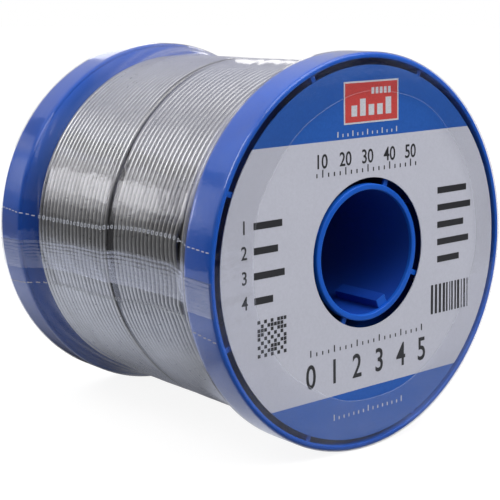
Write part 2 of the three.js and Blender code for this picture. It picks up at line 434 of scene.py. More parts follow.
def solder():
    """Drawn solder: soft gloss, with painted shade down between the turns.

    The mesh's "groove" is 1 on the flanks of the groove, which painted shade darkens there. A second
    attribute lightens the turns' flanks with painted light, and paints shade on them where it is
    negative.
    """
    n = Surface("solder_wire")
    place, x, y, z = n.position()
    radius = n.radius(x, z)
    # Painted shade: the turns darken down between them, by their distance from the axis.
    crown = n.ranged(radius, OUTER_LAYER_RADIUS + 0.18, OUTER_LAYER_RADIUS + 0.49)
    below = n.ranged(radius, OUTER_LAYER_RADIUS - 0.5, OUTER_LAYER_RADIUS, 1, 0)
    flank = n.math("SUBTRACT", 1.0, n.math("MAXIMUM", crown, below))
    # Painted light and shade on the turns' flanks.
    lift = n.times(n.attribute("painted_flank_light"), flank)
    crown = n.math("ADD", crown, lift, clamp=True)
    bright = n.mixed(n.varied(n.noise(place, 0.35, 3)), *SOLDER_TONES)
    lit = n.mixed(crown, n.mixed(below, SHADE_BETWEEN_TURNS, SHADE_BELOW_TURNS), bright)
    n.set(
        # Painted shade along the groove.
        Base_Color=n.mixed(n.times(n.attribute("groove"), 0.95), lit, GROOVE_SHADE_GREY),
        Roughness=n.varied(n.noise(place, 1.3, 3), 0.27, 0.35),
        Metallic=1.0,
    )
    return n.material


FILM_TINT = (0.86, 0.885, 1.0)
SHINE_POWER = 4.6  # how steeply the film's gloss grows towards grazing
FILM_EDGE_TONES = (0.7, 0.74, 0.85), (0.9, 0.92, 0.98)


def clear_film(name, haze):
    """Clear film: mostly see-through, mirror-like towards grazing, with a slight haze.

    The mesh's attribute is 1 where painted shade takes the film's gloss away, as over the groove.
    """
    n = Surface(name)
    place, x, y, z = n.position()
    shine = n.math("POWER", n.add("ShaderNodeLayerWeight").outputs["Facing"], SHINE_POWER)
    cloud = n.noise(place, 0.12, 2)
    veil = n.varied(cloud, 0.8 * haze, 1.2 * haze)
    # Painted shade: the mesh's attribute takes the film's gloss and veil away.
    shown = n.math("SUBTRACT", 1.0, n.times(n.attribute("gloss_shade"), 0.9))
    n.set(
        Base_Color=FILM_TINT,
        Metallic=1.0,
        Roughness=n.varied(cloud, 0.08, 0.15),
        Alpha=n.times(n.math("ADD", veil, shine, clamp=True), shown),
    )
    n.bump(n.noise(n.stretched(place, (0.7, 0.45, 1.0)), 0.55, 3, 0.55), 0.10, 0.5)
    return n.material


def white_film_edge(name, cover):
    n = Surface(name)
    tone = n.mixed(n.noise(n.position()[0], 2.0), *FILM_EDGE_TONES)
    n.set(Base_Color=tone, Roughness=0.3, Alpha=cover)
    return n.material


PAPER_TONES = (0.51, 0.52, 0.60), (0.55, 0.56, 0.645)
FIELD_TONES = (0.008, 0.085, 0.39), (0.012, 0.105, 0.45)


def paper():
    """Coated paper with a blue field above one line and below another."""
    n = Surface("label_paper")
    place, x, y, z = n.position()
    roll = math.radians(LABEL_ROLL)
    rise, run = n.times(z, math.cos(roll)), n.times(x, math.sin(roll))
    up = n.math("SUBTRACT", rise, run)
    fibres = n.noise(place, 3.0, 4, 0.6)
    white = n.mixed(n.varied(fibres), *PAPER_TONES)
    blue = n.mixed(n.varied(fibres), *FIELD_TONES)
    top = n.math("GREATER_THAN", up, TOP_FIELD_UP)
    bottom = n.math("LESS_THAN", up, BOTTOM_FIELD_UP)
    n.set(Base_Color=n.mixed(n.math("MAXIMUM", top, bottom), white, blue), Roughness=0.42)
    n.bump(fibres, 0.01)
    return n.material


def ink(name, colour):
    n = Surface(name)
    darker = tuple(0.8 * c for c in colour)
    cloud = n.varied(n.noise(n.position()[0], 4.0))
    n.set(Base_Color=n.mixed(cloud, darker, colour), Roughness=0.45)
    return n.material


plastic = blue_plastic()
wire_metal = solder()
label_paper = paper()


# ---- flange halves ----

LATHE_STEPS = 240


def flange_profile(end_depth, end_radius):
    """One half's section as (radius, depth behind its rim face, radius of the corner)."""
    back_edge = RIM_RADIUS - 0.5
    return rounded([
        (BORE_RADIUS, 0, 0.2),
        (HUB_RADIUS, 0, 0.18),
        (HUB_RADIUS, WEB_OUTER_DEPTH, 0.4),
        (RIM_INNER_RADIUS - SHOULDER_RUN, WEB_OUTER_DEPTH, 0.6),
        (RIM_INNER_RADIUS, WEB_OUTER_DEPTH - SHOULDER_DEPTH, 0.8),
        (RIM_INNER_RADIUS, 0, 0.2),
        (RIM_RADIUS, 0, 0.45),
        (RIM_RADIUS, RIM_WIDTH, 0.35),
        (back_edge, RIM_WIDTH, 0.1),
        (back_edge - SHOULDER_RUN, WEB_INNER_DEPTH, 0.6),
        (BARREL_RADIUS, WEB_INNER_DEPTH, 0.4),
        (BARREL_RADIUS, BARREL_LENGTH, 0.1),
        (end_radius, BARREL_LENGTH, 0.0),
        (end_radius, end_depth, 0.0),
        (BORE_RADIUS, end_depth, 0.1),
    ])


def slab(outline, thickness, angle, bevel=0.12):
    """A rib cut to an outline of (radius, depth), with bevelled sides, at its angle."""
    outline = np.asarray(outline, float)
    inward = outline.mean(0) - outline
    inner = outline + inward * bevel / np.linalg.norm(inward, axis=1, keepdims=True)
    half = thickness / 2
    layers = [(inner, -half), (outline, bevel - half), (outline, half - bevel), (inner, half)]
    turn = math.radians(angle)
    radial = np.array([math.cos(turn), 0, math.sin(turn)])
    sideways = np.array([-math.sin(turn), 0, math.cos(turn)])
    points = [
        [radius * radial + (0, depth, 0) + offset * sideways for radius, depth in shape]
        for shape, offset in layers
    ]
    return np.array(points).reshape(-1, 3), capped(len(layers), len(outline))


def rib(angle, start_radius):
    return slab([
        (start_radius, RIB_DEPTH),
        (RIM_INNER_RADIUS + ROOT, RIB_DEPTH),
        (RIM_INNER_RADIUS + ROOT, WEB_OUTER_DEPTH - SHOULDER_DEPTH),
        (RIM_INNER_RADIUS - SHOULDER_RUN, WEB_OUTER_DEPTH + ROOT),
        (start_radius, WEB_OUTER_DEPTH + ROOT),
    ], RIB_THICKNESS, angle)


def drive_key():
    top, foot, end = BORE_RADIUS - KEY_HEIGHT, BORE_RADIUS + ROOT, KEY_SETBACK + KEY_LENGTH
    outline = [(top, KEY_SETBACK), (foot, KEY_SETBACK), (foot, end), (top, end)]
    return slab(outline, KEY_WIDTH, KEY_ANGLE)


def flange(name, side, end_depth, end_radius):
    """side is -1 for the labelled half and 1 for the other."""
    ribs = []
    for i in range(RIB_COUNT):
        start_radius = HUB_RADIUS - ROOT if i % 2 else SHORT_RIB_START
        ribs.append(rib(FIRST_RIB_ANGLE + 360 * i / RIB_COUNT, start_radius))
    shapes = revolved(flange_profile(end_depth, end_radius), LATHE_STEPS), joined([*ribs, drive_key()])
    for points, _ in shapes:
        points[:, 1] = side * (FACE_Y - points[:, 1])
    body, added = (mesh_object("half", *shape, plastic) for shape in shapes)
    union = body.modifiers.new("join", "BOOLEAN")
    union.operation = "UNION"
    union.object = added
    mesh = evaluated(body)
    for used in (body, added):
        bpy.data.objects.remove(used)
    return finished(name, mesh, plastic, 32)


spigot_radius = BORE_RADIUS + SPIGOT_WALL
front_flange = flange("front_flange", -1, BARREL_LENGTH - SOCKET_DEPTH, spigot_radius + FIT_GAP)
rear_flange = flange("rear_flange", 1, BARREL_LENGTH + SOCKET_DEPTH, spigot_radius)


# ---- label ----

def label_sag(x, z):
    """How far the paper dips behind its flat, between the ribs that carry it."""
    radius = np.hypot(x, z)
    from_rib = np.radians(RIB_COUNT * (angle_of(x, z) - FIRST_RIB_ANGLE))
    along = smoothstep(radius, LABEL_HOLE_RADIUS, 17) * (1 - 0.4 * smoothstep(radius, 24, LABEL_RADIUS))
    return LABEL_SAG * (1 - np.cos(from_rib)) / 2 * along


def label_disc():
    radii = np.linspace(LABEL_HOLE_RADIUS, LABEL_RADIUS, 18)
    thickness = LABEL_BACK_Y - LABEL_Y
    profile = [(r, 0.0) for r in radii] + [(r, thickness) for r in radii[::-1]]
    points, faces = revolved(profile, LATHE_STEPS)
    x, y, z = points.T
    y += LABEL_Y + label_sag(x, z)
    x += LABEL_SHIFT[0] + HOLE_SHIFT * (1 - smoothstep(np.hypot(x, z), LABEL_HOLE_RADIUS, 18))
    z += LABEL_SHIFT[1]
    return mesh_object("paper_label", points, faces, label_paper, 40)


# ---- print on the label, with its own right and up ----

PRINT_BASE = 0.005  # the print's underside off the paper
PRINT_THICKNESS = 0.02
BLOCK_LIFTS = 0.01, 0.02  # the red block over its white edge, and the bars on it
TICK_WIDTH = 0.22


def on_label(right, up, out):
    """Points of the print, put on the paper."""
    roll = math.radians(LABEL_ROLL)
    x = right * math.cos(roll) - up * math.sin(roll)
    z = right * math.sin(roll) + up * math.cos(roll)
    return np.stack([x + LABEL_SHIFT[0], LABEL_Y + label_sag(x, z) - out, z + LABEL_SHIFT[1]], -1)


def bar(left, bottom, width, height, lift=0.0):
    """A printed rectangle, cut in squares so that it follows the paper."""
    columns = max(1, round(width / 1.5))
    right, up = np.meshgrid(np.linspace(left, left + width, columns + 1), (bottom, bottom + height))
    return patch(*(on_label(right, up, out) for out in (PRINT_THICKNESS + lift, PRINT_BASE)))


def ticks(left, bottom, step, count, short, tall, every, first=0, width=TICK_WIDTH):
    """A row of strokes, of which every few are tall."""
    heights = [tall if i % every == first else short for i in range(count)]
    return [bar(left + step * i, bottom, width, height) for i, height in enumerate(heights)]


def numeral(text, right, up, height, stretch=0.85):
    curve = bpy.data.curves.new("figure", "FONT")
    curve.body = text
    curve.offset = 0.012
    curve.extrude = 0.5
    curve.resolution_u = 4
    made = linked("figure", curve)
    mesh = evaluated(made)
    points = np.array([v.co for v in mesh.vertices])
    faces = [tuple(p.vertices) for p in mesh.polygons]
    bpy.data.objects.remove(made)
    out = np.where(points[:, 2] > 0, PRINT_THICKNESS, PRINT_BASE)
    low, high = points.min(0), points.max(0)
    points = (points - (low + high) / 2) * height / (high[1] - low[1])
    return on_label(points[:, 0] * stretch + right, points[:, 1] + up, out), faces


def stripes(random, left, right, bottom, height):
    made = []
    while left < right:
        width = random.choice((0.2, 0.35, 0.5))
        made.append(bar(left, bottom, width, height))
        left += width + random.choice((0.25, 0.4))
    return made


def speckled_block(random, left, bottom, count, step=0.6, size=0.5):
    """A square of small squares: every other one, and some of the rest."""
    return [
        bar(left + step * column, bottom + step * row, size, size)
        for row in range(count)
        for column in range(count)
        if (row + column) % 2 == 0 or random.random() < 0.3
    ]


def black_print():
    """Scales and figures above and below the hole, and blocks of bars beside it."""
    random = np.random.default_rng(4)
    parts = ticks(-10.2, 12.1, step=1.125, count=19, short=0.6, tall=1.1, every=4, first=1)
    parts += ticks(-11.6, -13.7, step=1.15, count=21, short=0.55, tall=1.0, every=4)
    for i in range(5):
        parts.append(numeral(str(10 * i + 10), -9.0 + 4.5 * i, 14.4, 2.1))
    for i in range(6):
        parts.append(numeral(str(i), -11.5 + 4.6 * i, -16.6, 3.6, 0.8))
    for i, width in enumerate((5.2, 4.4, 5.6, 3.4)):
        up = 6.6 - 3.5 * i
        parts.append(numeral(str(i + 1), -23.6, up, 1.9))
        parts.append(bar(-21.9, up - 0.5, width, 1.0))
    for i, width in enumerate((6.6, 7.6, 6.0, 7.2, 5.0)):
        parts.append(bar(15.0, 7.2 - 2.7 * i, width, 1.0))
    parts += stripes(random, 13.6, 22.0, -11.6, 4.6)
    return parts + speckled_block(random, -21.4, -12.0, 9)


def white_print():
    """Ticks on the blue fields, the edge of the red block and the bars on it."""
    parts = ticks(-6.1, 17.6, 1.0, count=13, short=0.45, tall=0.8, every=3, width=0.2)
    parts += ticks(-7.1, -24.0, 1.0, count=15, short=0.5, tall=0.9, every=7, width=0.2)
    parts.append(bar(-4.8, 19.3, 11.2, 6.2))
    for i, height in enumerate((1.6, 2.5, 1.6, 1.6, 2.5)):
        parts.append(bar(-3.3 + 1.75 * i, 20.4, 1.15, height, BLOCK_LIFTS[1]))
    return parts + [bar(0.8 + 0.85 * i, 23.5, 0.55, 0.95, BLOCK_LIFTS[1]) for i in range(5)]


label = label_disc()
prints = [
    mesh_object(f"label_print_{tone}", *joined(parts), ink(f"{tone}_ink", colour), 30)
    for tone, parts, colour in (
        ("black", black_print(), (0.022, 0.022, 0.026)),
        ("white", white_print(), (0.62, 0.63, 0.68)),
        ("red", [bar(-4.55, 19.55, 10.7, 5.7, BLOCK_LIFTS[0])], (0.60, 0.055, 0.05)),
    )
]


# ---- wound wire ----

TURN_STEPS = 120
TURN_SIDES = 14
TURN_PITCH = 1.04
GROOVE_ANGLE = 300  # where the wire crosses the groove, on the hidden side
FRONT_TURNS = 18.06  # turns from the groove to the labelled flange
REAR_TURNS = 19.0
FRONT_FIRST_Y = -0.95  # first turn on each side of the groove, at the crossing
REAR_FIRST_Y = -0.215
OUTERMOST_Y = 19.25
DIP_START, DIP_END = 156, 198  # where the turn beside the groove drops into it
END_BEND = 1.2  # radius in which the wire's ends turn down

LOWER_TURNS = 37
LOWER_SIDES = 8
LOWER_STEP = 5.0  # degrees
LOWER_START_Y, LOWER_END_Y = -18.6, 19.3

CORE_FRONT_Y, CORE_REAR_Y = -19.6, 19.4
CORE_STEP = (3, 0.9)  # the core's step down at its front end, in radius and in y

# How far the groove strays from a true circle, at angles round the axis.
GROOVE_SLANT = (
    (0, 1.0), (50, 1.6), (90, 1.7), (105, 1.5), (115, 1.1), (130, 0.45), (155, 0.15), (178, 0.15),
    (190, -0.1), (205, -0.5), (215, -1.0), (222, -1.4), (228, -1.6), (245, -1.7), (270, -1.4),
    (300, -0.8), (330, 0.0), (360, 1.0),
)


def groove_slant(angle):
    return np.interp(angle % 360, *zip(*GROOVE_SLANT))


def groove_y(angle):
    """The groove's middle, halfway between the turns beside it."""
    share = ((angle - GROOVE_ANGLE) / 360) % 1
    middle = (FRONT_FIRST_Y + REAR_FIRST_Y) / 2
    return middle + TURN_PITCH / 2 * (1 - 2 * share) + groove_slant(angle)


def flange_gap(angle):
    """How far the other turns stand off the last one at the labelled flange."""
    return 1.0 * window(angle, 168, 180, 5) + 0.7 * window(angle, 190.5, 196, 3.5)


def turn_y(turns, total, first_y, side):
    """y of a turn that many turns from the groove's crossing. side is -1 in front and 1 behind."""
    angle = GROOVE_ANGLE - side * 360 * turns
    share = turns % 1
    whole = np.floor(total - share)
    far = side * OUTERMOST_Y
    others = far + (flange_gap(angle) if side < 0 else 0)
    cut = total % 1
    first = first_y + side * TURN_PITCH * share + groove_slant(angle)
    late = side * TURN_PITCH * np.where(share > cut, 1 - smoothstep(share, cut, cut + 0.18), 0)
    far, others = far - late, others - late
    y = first + (turns - share) / np.maximum(whole, 1) * (others - first)
    return np.where(turns >= whole + share - 1e-9, far, y)


def outer_path():
    """The outer layer's centreline from the rear flange to the labelled one."""
    rear = np.linspace(REAR_TURNS, 0.02, int(REAR_TURNS * TURN_STEPS))
    front = np.linspace(0.02, FRONT_TURNS, int(FRONT_TURNS * TURN_STEPS))
    angle = np.concatenate([GROOVE_ANGLE - 360 * rear, GROOVE_ANGLE + 360 * front])
    y = np.concatenate([
        turn_y(rear, REAR_TURNS, REAR_FIRST_Y, 1),
        turn_y(front, FRONT_TURNS, FRONT_FIRST_Y, -1),
    ])
    dip = window(angle, DIP_START, DIP_END, 1.6) * np.concatenate([0 * rear, front < 1])
    run = np.arange(len(angle)) / TURN_STEPS * 360
    radius = OUTER_LAYER_RADIUS - LAYER_STEP * dip + wobble(run, 3, (0.33, 0.14, 0.83, 1.7), 0.015)
    y = y + wobble(run, 5, (0.21, 0.57, 1.31, 2.3), 0.02)
    return cylindrical(radius, np.radians(angle), y)


def with_ends(path):
    """The path with both ends bent down into the layers below."""
    ends = []
    for point, inner in ((path[0], path[1]), (path[-1], path[-2])):
        ahead, outward = point - inner, point * (1, 0, 1)
        ahead, outward = ahead / np.linalg.norm(ahead), outward / np.linalg.norm(outward)
        bend = [
            point + END_BEND * (math.sin(t) * ahead + (math.cos(t) - 1) * outward)
            for t in np.linspace(0, TURN / 4, 7)[1:]
        ]
        ends.append(bend + [bend[-1] - 0.4 * k * outward for k in (1, 2, 3)])
    return np.array([*ends[0][::-1], *path, *ends[1]])


def lower_path():
    angle = np.arange(int(LOWER_TURNS * 360 / LOWER_STEP)) * LOWER_STEP
    y = LOWER_START_Y + (LOWER_END_Y - LOWER_START_Y) * angle / angle[-1]
    return cylindrical(OUTER_LAYER_RADIUS - LAYER_STEP, np.radians(angle), y)


def wire_object(name, path, sides):
    points, faces = tube(path, np.tile([0.0, 1.0, 0.0], (len(path), 1)), WIRE_DIAMETER / 2, sides)
    made = mesh_object(name, points, faces, wire_metal)
    x, y, z = points.T
    angle = angle_of(x, z)
    # Painted shade on the turns beside the groove, at the angles where it shows.
    seen = window(angle, 75, 130, 15) + 0.6 * window(angle, 208, 250, 6)
    set_attribute(made, "groove", seen * np.exp(-((y - groove_y(angle)) / 0.8) ** 2))
    # Painted light on the flanks at some angles, and painted shade at others.
    lighter = 0.68 * window(angle, 98, 160, 5) + 0.25 * window(angle, 212, 250, 4)
    darker = 0.6 * window(angle, 187, 209, 3) * (y < 0)
    set_attribute(made, "painted_flank_light", lighter - darker)
    return made


def core_object():
    """The layers further down, as one ring."""
    core_radius = OUTER_LAYER_RADIUS - 1.6 * LAYER_STEP
    inner_radius, low_radius = BARREL_RADIUS + 0.2, core_radius - CORE_STEP[0]
    step_y = CORE_FRONT_Y + CORE_STEP[1]
    points, faces = revolved(rounded([
        (inner_radius, CORE_FRONT_Y, 0),
        (low_radius, CORE_FRONT_Y, 0.3),
        (low_radius, step_y, 0.3),
        (core_radius, step_y, 0.3),
        (core_radius, CORE_REAR_Y, 0.3),
        (inner_radius, CORE_REAR_Y, 0),
    ]), 120)
    return mesh_object("winding_core", points, faces, wire_metal, 40)


outer_wire = wire_object("outer_wire", with_ends(outer_path()), TURN_SIDES)
lower_wire = wire_object("lower_wire", lower_path(), LOWER_SIDES)
winding_core = core_object()


# ---- shrink film ----

FILM_ANGLES = 360
OPENING_RADIUS = 23.0
OPENING_SHIFT = (0.8, 0.9)  # the front opening's centre, right of and above the axis
REAR_OPENING_SHIFT = (-0.6, 0.0)
FILM_ON_RIM = RIM_RADIUS + 0.05
FILM_ON_WIRE = WINDING_RADIUS + 0.13
FILM_DROP = FILM_ON_RIM - FILM_ON_WIRE
FILM_FACE = FACE_Y + 0.10
BAND_END = RIM_END_Y + 0.2
FRONT_BRIDGE = 4.2  # length over which the film drops from the rim to the winding
REAR_BRIDGE = 9.5
SHORT_REAR_BRIDGE = 4.2  # how much shorter it is towards the camera
CORNER = 0.4
FACE_ROWS, CORNER_ROWS = 16, 5
FRONT_PUCKERS = 19, (13, 17, 29, 37), 0.05  # seed, orders and size of their waves
REAR_PUCKERS = 18, (7, 11, 16, 23), 0.07


def film_opening(angle, shift, seed, orders, size):
    turn = np.radians(angle)
    off_centre = shift[0] * np.cos(turn) + shift[1] * np.sin(turn)
    return OPENING_RADIUS + off_centre + wobble(angle, seed, orders, size)


def film_face(angle, opening, side):
    """Rows over a face, from its opening out to the rim. side is -1 in front and 1 behind."""
    rows = []
    for t in np.linspace(0, 1, FACE_ROWS):
        bow = math.sin(math.pi * t)
        slack = bow * (0.05 + wobble(angle, 30 + side, (4, 7, 9, 14), 0.035))
        creases = wobble(angle, 33, (31, 47, 58), 0.05) + wobble(angle + 60 * t, 34, (19, 26), 0.05)
        creases = np.maximum(window(angle, 172, 214, 12) * bow * creases, -0.03)
        radius = opening + (FILM_ON_RIM - CORNER - opening) * t
        rows.append((radius, side * (FILM_FACE + slack + creases)))
    return rows


def film_corner(side):
    """Rows round a rim's corner, from its face to its band."""
    return [
        (FILM_ON_RIM + CORNER * (math.sin(t) - 1), side * (FILM_FACE + CORNER * (math.cos(t) - 1)))
        for t in np.linspace(0, TURN / 4, CORNER_ROWS + 2)[1:-1]
    ]


def film_winding(angle, front_land, rear_land):
    """Rows over the winding, closest together where the film dips over the groove."""
    middle = groove_y(angle)
    stops = (front_land, middle - 1.2, middle + 1.2, rear_land)
    rows = []
    for start_y, end_y, count in zip(stops, stops[1:], (27, 17, 27)):
        for share in np.linspace(0, 1, count)[1:]:
            y = start_y + (end_y - start_y) * share
            t = (y - front_land) / (rear_land - front_land)
            ripple = 0.02 * np.sin(9 * t) + wobble(angle + 140 * t, 17, (5, 9, 14, 22), 0.02)
            top = window(angle, 82, 110, 6) * (1 - smoothstep(t, 0.25, 0.5))
            ripple = ripple + top * wobble(angle + 90 * t, 21, (31, 44, 61), 0.07)
            dip = 0.12 * np.exp(-((y - middle) / 0.5) ** 2)
            rows.append((FILM_ON_WIRE + ripple * np.sin(math.pi * t) - dip, y))
    return rows


def film_bridge(angle, shares, rim_y, land, loose, twist, waves):
    """Rows between a rim, at share 0, and the film's landing on the winding, at share 1."""
    rows = []
    for t in shares:
        pucker = loose * wobble(angle + twist * t, *waves) * math.sin(math.pi * t)
        radius = FILM_ON_RIM - FILM_DROP * (1 - (1 - t) ** 2) + pucker
        rows.append((radius, rim_y + (land - rim_y) * t))
    return rows


def film_section(angle):
    """Radius and y of the film's line at each angle, with a row for each point along it."""
    front_open = film_opening(angle, OPENING_SHIFT, 11, (3, 5, 7, 11), 0.28)
    rear_open = film_opening(angle, REAR_OPENING_SHIFT, 12, (2, 3, 5, 8), 0.4)
    front_land = -BAND_END + FRONT_BRIDGE + wobble(angle, 15, (3, 4, 6, 9), 0.4)
    rear_land = BAND_END - REAR_BRIDGE + SHORT_REAR_BRIDGE * window(angle, 138, 192, 10)
    rear_land = rear_land + wobble(angle, 16, (2, 3, 5, 8), 0.9)
    front_loose = 1 + 2.0 * window(angle, 82, 112, 8)
    rear_loose = 1 + 1.6 * window(angle, 225, 300, 25) + 1.2 * window(angle, 80, 112, 8)
    down, up = np.linspace(0, 1, 17)[1:], np.linspace(1, 0, 25)[1:]
    band = np.linspace(BAND_END, FILM_FACE - CORNER, 9)
    rows = [
        *film_face(angle, front_open, -1),
        *film_corner(-1),
        *((FILM_ON_RIM, -y) for y in band[::-1]),
        *film_bridge(angle, down, -BAND_END, front_land, front_loose, 40, FRONT_PUCKERS),
        *film_winding(angle, front_land, rear_land),
        *film_bridge(angle + 60, up, BAND_END, rear_land, rear_loose, -60, REAR_PUCKERS),
        *((FILM_ON_RIM, y) for y in band[1:]),
        *film_corner(1)[::-1],
        *film_face(angle, rear_open, 1)[::-1],
    ]
    return (np.array([value + 0 * angle for value in line]) for line in zip(*rows))


GRID_ANGLE = np.arange(FILM_ANGLES + 1) * 360 / FILM_ANGLES
GRID_RADIUS, GRID_Y = film_section(GRID_ANGLE)
LAST_ROW = len(GRID_Y) - 1
FIRST_BAND_ROW = FACE_ROWS + CORNER_ROWS
LAST_BAND_ROW = LAST_ROW - FIRST_BAND_ROW
CAMERA_SIDE = 180  # the grid's column that faces the camera's side


def film_at(row, angle, lift):
    """Points lifted off the film's outside, at fractional rows and any angles."""
    lift = lift + FILM_THICKNESS
    row, angle = np.broadcast_arrays(row, angle)
    column = (angle % 360) / 360 * FILM_ANGLES
    c = np.minimum(column.astype(int), FILM_ANGLES - 1)
    r = np.clip(row.astype(int), 0, LAST_ROW - 1)
    across, along = column - c, row - r

    def sample(grid):
        low = grid[r, c] * (1 - across) + grid[r, c + 1] * across
        high = grid[r + 1, c] * (1 - across) + grid[r + 1, c + 1] * across
        return low * (1 - along) + high * along, high - low

    radius, along_r = sample(GRID_RADIUS)
    y, along_y = sample(GRID_Y)
    length = np.hypot(along_r, along_y)
    return cylindrical(radius + lift * along_y / length, np.radians(angle), y - lift * along_r / length)


def film_row(y):
    """The row at which the film passes y, between its two faces."""
    rows = np.arange(FIRST_BAND_ROW, LAST_BAND_ROW + 1)
    return np.interp(y, GRID_Y[rows, CAMERA_SIDE], rows)


def film_dullness(points):
    """Where painted shade takes the film's gloss away: over the groove, by the gap at the labelled
    flange, on the rear flange and on the front face's upper part.
    """
    x, y, z = points.T
    angle = angle_of(x, z)
    over_wire = np.abs(y) < RIM_END_Y
    on_rear_rim = smoothstep(y, 22, 22.8)
    return np.maximum.reduce([
        over_wire * np.exp(-((y - groove_y(angle)) / 0.55) ** 2),
        over_wire * np.clip(flange_gap(angle), 0, 1) * window(-y, 17.9, 19.3, 0.3),
        0.6 * window(angle, 176, 250, 10) * smoothstep(y, 16, 19.5) * (1 - on_rear_rim),
        0.9 * window(angle, 122, 162, 6) * smoothstep(y, 17, 20) * (1 - on_rear_rim),
        0.4 * window(angle, 186, 240, 4) * on_rear_rim,
        0.9 * window(angle, 155, 175, 3) * on_rear_rim,
        0.45 * (y < -FACE_Y) * smoothstep(z, -20, -12),
    ])


def film_sleeve():
    rows = np.arange(LAST_ROW + 1)[:, None]
    outside, inside = (film_at(rows, GRID_ANGLE[:-1], lift) for lift in (0.0, -FILM_THICKNESS))
    points = np.concatenate([outside, inside[::-1]])
    faces = grid_faces(len(points), FILM_ANGLES, (True, True))
    film = clear_film("clear_film", 0.055)
    made = mesh_object("film_sleeve", points, faces, film, 60)
    set_attribute(made, "gloss_shade", film_dullness(points.reshape(-1, 3)))
    return made


def sheet(row, angle, low, high):
    """A patch over grids of film rows and angles, between two heights off the film."""
    return patch(film_at(row, angle, high), film_at(row, angle, low))


# Angles of the film's seam and of its two lines of perforations, at these y.
SEAM_Y = (-28.7, -19.5, -16.9, -8.0, -2.2, 0.8, 9.7, 18.5, 28.7)
SEAM_TOP = (182.0, 181.5, 180.0, 180.2, 181.0, 182.0, 182.6, 184.0, 185.0)
SEAM_FOOT = (191.5, 191.0, 190.5, 190.8, 191.5, 192.0, 192.0, 193.0, 194.0)
UPPER_HOLES = (174.0, 173.2, 172.5, 172.7, 173.7, 174.8, 175.5, 176.0, 174.5)
LOWER_HOLES = (198.5, 196.0, 195.0, 195.6, 196.7, 197.5, 197.8, 198.0, 199.5)
SEAM_ROWS = np.arange(FIRST_BAND_ROW - 4, LAST_BAND_ROW + 4, 0.5)
HOLE_STEP = 1.04
HOLES_END_Y = 28.0
HOLES_ON_WIRE_Y = 19.5  # between these the perforations are rings, beyond them dashes


def seam_line(angles):
    """A seam line's angle at each of SEAM_ROWS."""
    y = np.interp(SEAM_ROWS, np.arange(LAST_ROW + 1), GRID_Y[:, CAMERA_SIDE])
    return np.interp(y, SEAM_Y, angles)


def film_seam():
    """The strip where the film overlaps itself, with fine gathers along it."""
    rows, across = SEAM_ROWS[:, None], np.linspace(0, 1, 49)[None, :]
    top, foot = seam_line(SEAM_TOP)[:, None], seam_line(SEAM_FOOT)[:, None]
    row, angle = np.broadcast_arrays(rows, top + (foot - top) * across)
    gathers = np.sin(across * 52 + 0.35 * np.sin(rows * 0.21)) * (1 - smoothstep(across, 0.75, 1))
    gathers = smoothstep(rows, FIRST_BAND_ROW - 4, FIRST_BAND_ROW) * gathers
    waves = np.sin(rows * 0.6 + across * 7)
    lift = 0.03 + 0.013 * gathers + 0.012 * waves
    points, faces = sheet(row, angle, lift, lift + 0.04)
    made = mesh_object("film_seam", points, faces, clear_film("film_seam", 0.12), 60)
    # Painted shade: the seam's gloss fades on the rear flange.
    set_attribute(made, "gloss_shade", 0.55 * smoothstep(points[:, 1], 17, 20))
    return made


def eyelet(y, angle, size):
    """A little raised ring on the film."""
    turn = np.arange(12) * TURN / 12
    loops = []
    for radius, lift in ((0.6 * size, 0.01), (size, 0.01), (size, 0.045), (0.6 * size, 0.045)):
        row = film_row(y + radius * np.cos(turn))
        aside = np.degrees(radius * np.sin(turn) / WINDING_RADIUS)
        loops.append(film_at(row, angle + aside, lift))
    return np.concatenate(loops), grid_faces(len(loops), len(turn), (True, True))


def dash(y, angle, length):
    rows = film_row(np.linspace(y, y + length, 4))
    row, aside = np.meshgrid(rows, np.array([-0.16, 0.16]), indexing="ij")
    return sheet(row, angle + aside, 0.01, 0.05)


def film_holes():
    """Two lines of perforations: dashes on the rims and little rings over the winding."""
    parts = []
    for seed, line in enumerate((UPPER_HOLES, LOWER_HOLES)):
        random = np.random.default_rng(40 + seed)
        y = -HOLES_END_Y
        while y < HOLES_END_Y:
            angle = np.interp(y, SEAM_Y, line) + random.uniform(-0.1, 0.1)
            if abs(y) < HOLES_ON_WIRE_Y:
                parts.append(eyelet(y, angle, 0.28 + 0.08 * random.random()))
            else:
                parts.append(dash(y, angle, 0.5 + 0.15 * random.random()))
            y += HOLE_STEP
    white = white_film_edge("film_perforation", 0.5)
    return mesh_object("film_perforation", *joined(parts), white, 40)


def opening_bead(row, radius=0.035, sides=6):
    path = film_at(row, GRID_ANGLE[:-1], -0.5 * FILM_THICKNESS)
    outward = path * (1, 0, 1)
    outward /= np.linalg.norm(outward, axis=1, keepdims=True)
    turn = (np.arange(sides) * TURN / sides)[:, None, None]
    spokes = np.cos(turn) * outward + np.sin(turn) * np.array([0.0, 1.0, 0.0])
    return (path + radius * spokes).reshape(-1, 3), grid_faces(sides, FILM_ANGLES, (True, True))


def film_edges():
    """The edges of the seam and of the two openings, with a painted highlight where they catch the
    light.
    """
    path = film_at(SEAM_ROWS, seam_line(SEAM_TOP), 0.05)
    parts = [tube(path, path * (1, 0, 1), 0.04, 6), opening_bead(0), opening_bead(LAST_ROW)]
    # Painted highlight: faint white beads along the edges.
    return mesh_object("film_edges", *joined(parts), white_film_edge("film_edge", 0.16))


sleeve = film_sleeve()
seam = film_seam()
holes = film_holes()
edges = film_edges()


# ---- floor, light and camera ----

FLOOR_Z = -(FILM_ON_RIM + FILM_THICKNESS + 0.02)
FLOOR_REACH = 4000
CAMERA_PLACE = (-136.07, -165.33, 35.46)
CAMERA_TURN = (1.483619, -0.006689, -0.682959)
CAMERA_LENS = 94.914
CAMERA_SHIFT = (0.0201, -0.2491)

